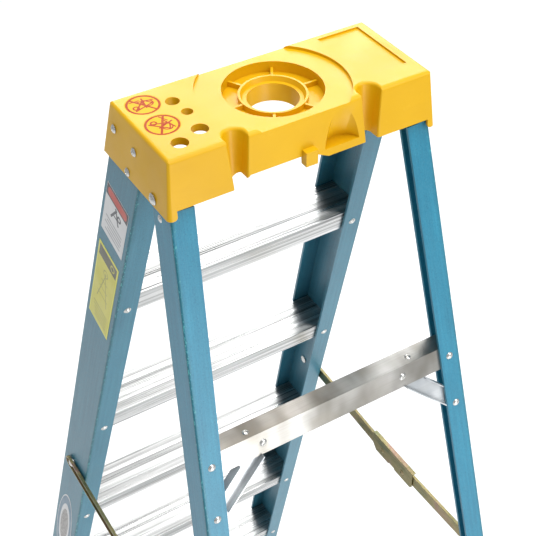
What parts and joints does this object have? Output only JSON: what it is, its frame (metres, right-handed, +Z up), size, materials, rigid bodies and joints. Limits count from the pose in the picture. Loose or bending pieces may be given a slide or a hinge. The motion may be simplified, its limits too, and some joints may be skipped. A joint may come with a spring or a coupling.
{
  "type": "step ladder",
  "caption": "Fibreglass A-frame step ladder with a moulded tool-tray cap, ribbed aluminium steps, riveted rear braces and folding side spreaders.",
  "frame": {"origin": "on the floor, at the middle of the open ladder's footprint", "axes": "+X across the ladder, to the right of a climber on the steps; +Y to the rear section; +Z up"},
  "size_m": [0.5964, 1.0778, 1.7477],
  "materials": {
    "cap_plastic": "moulded, satin",
    "rail_fibreglass": "pultruded glass-fibre resin, semi-gloss",
    "step_aluminium": "extruded, ribbed, satin",
    "brace_aluminium": "rolled, satin",
    "bracket_steel": "zinc plated",
    "rivet_steel": "bright, domed",
    "spreader_zinc": "yellow zinc passivated",
    "shoe_rubber": "moulded, matt",
    "decal": "printed film",
    "label_white": "printed film",
    "label_yellow": "printed film"
  },
  "bodies": {
    "front_section": {"top_cap": "cap_plastic", "cap_decal_front": "decal", "cap_decal_rear": "decal", "cap_rivets": "rivet_steel", "hinge_pins": "rivet_steel", "front_rail_left": "rail_fibreglass", "front_rail_right": "rail_fibreglass", "front_shoe_left": "shoe_rubber", "front_shoe_right": "shoe_rubber", "front_shoe_rivets": "rivet_steel", "step_1": "step_aluminium", "step_2": "step_aluminium", "step_3": "step_aluminium", "step_4": "step_aluminium", "step_5": "step_aluminium", "step_rivets": "rivet_steel", "knee_brace_left": "bracket_steel", "knee_brace_right": "bracket_steel", "knee_brace_rivets": "rivet_steel", "rail_label_upper": "label_white", "rail_label_lower": "label_yellow", "rail_badge": "label_white", "spreader_front_pivots": "rivet_steel"},
    "rear_section": {"rear_rail_left": "rail_fibreglass", "rear_rail_right": "rail_fibreglass", "rear_shoe_left": "shoe_rubber", "rear_shoe_right": "shoe_rubber", "rear_shoe_rivets": "rivet_steel", "hinge_plate_left": "bracket_steel", "hinge_plate_right": "bracket_steel", "hinge_plate_rivets": "rivet_steel", "rear_brace_upper": "brace_aluminium", "rear_brace_middle": "brace_aluminium", "rear_brace_lower": "brace_aluminium", "brace_rivets": "rivet_steel", "gusset_upper_left": "bracket_steel", "gusset_upper_right": "bracket_steel", "gusset_middle_left": "bracket_steel", "gusset_middle_right": "bracket_steel", "gusset_lower_left": "bracket_steel", "gusset_lower_right": "bracket_steel", "gusset_rivets": "rivet_steel"},
    "spreader_front_left": {"spreader_front_bar_left": "spreader_zinc"},
    "spreader_plate_left": {"spreader_plate_left": "spreader_zinc", "spreader_plate_rivets_left": "rivet_steel"},
    "spreader_rear_left": {"spreader_rear_bar_left": "spreader_zinc", "spreader_end_rivet_left": "rivet_steel"},
    "spreader_front_right": {"spreader_front_bar_right": "spreader_zinc"},
    "spreader_plate_right": {"spreader_plate_right": "spreader_zinc", "spreader_plate_rivets_right": "rivet_steel"},
    "spreader_rear_right": {"spreader_rear_bar_right": "spreader_zinc", "spreader_end_rivet_right": "rivet_steel"}
  },
  "joints": [
    {"name": "rear_fold", "type": "hinge", "parent": "front_section", "child": "rear_section", "pos_m": [0, 0.08164, 1.68605], "axis": [-1, 0, 0], "range_deg": [0, 30.7]},
    {"name": "spreader_front_left", "type": "hinge", "parent": "front_section", "child": "spreader_front_left", "pos_m": [-0.221, -0.20476, 0.99765], "axis": [1, 0, 0], "range_deg": [0, 61.6]},
    {"name": "spreader_plate_left", "type": "hinge", "parent": "spreader_front_left", "child": "spreader_plate_left", "pos_m": [-0.221, 0.02324, 0.98265], "axis": [1, 0, 0], "range_deg": [-89.9, 0]},
    {"name": "spreader_rear_left", "type": "hinge", "parent": "spreader_plate_left", "child": "spreader_rear_left", "pos_m": [-0.221, 0.07474, 0.98265], "axis": [1, 0, 0], "range_deg": [-89.9, 0]},
    {"name": "spreader_front_right", "type": "hinge", "parent": "front_section", "child": "spreader_front_right", "pos_m": [0.221, -0.20476, 0.99765], "axis": [1, 0, 0], "range_deg": [0, 61.6]},
    {"name": "spreader_plate_right", "type": "hinge", "parent": "spreader_front_right", "child": "spreader_plate_right", "pos_m": [0.221, 0.02324, 0.98265], "axis": [1, 0, 0], "range_deg": [-89.9, 0]},
    {"name": "spreader_rear_right", "type": "hinge", "parent": "spreader_plate_right", "child": "spreader_rear_right", "pos_m": [0.221, 0.07474, 0.98265], "axis": [1, 0, 0], "range_deg": [-89.9, 0]}
  ],
  "couplings": [
    {"joint": "spreader_front_left", "follows": "rear_fold", "ratio": 1.989},
    {"joint": "spreader_plate_left", "follows": "rear_fold", "ratio": -2.9124},
    {"joint": "spreader_rear_left", "follows": "rear_fold", "ratio": -2.9124},
    {"joint": "spreader_front_right", "follows": "rear_fold", "ratio": 1.989},
    {"joint": "spreader_plate_right", "follows": "rear_fold", "ratio": -2.9124},
    {"joint": "spreader_rear_right", "follows": "rear_fold", "ratio": -2.9124}
  ]
}
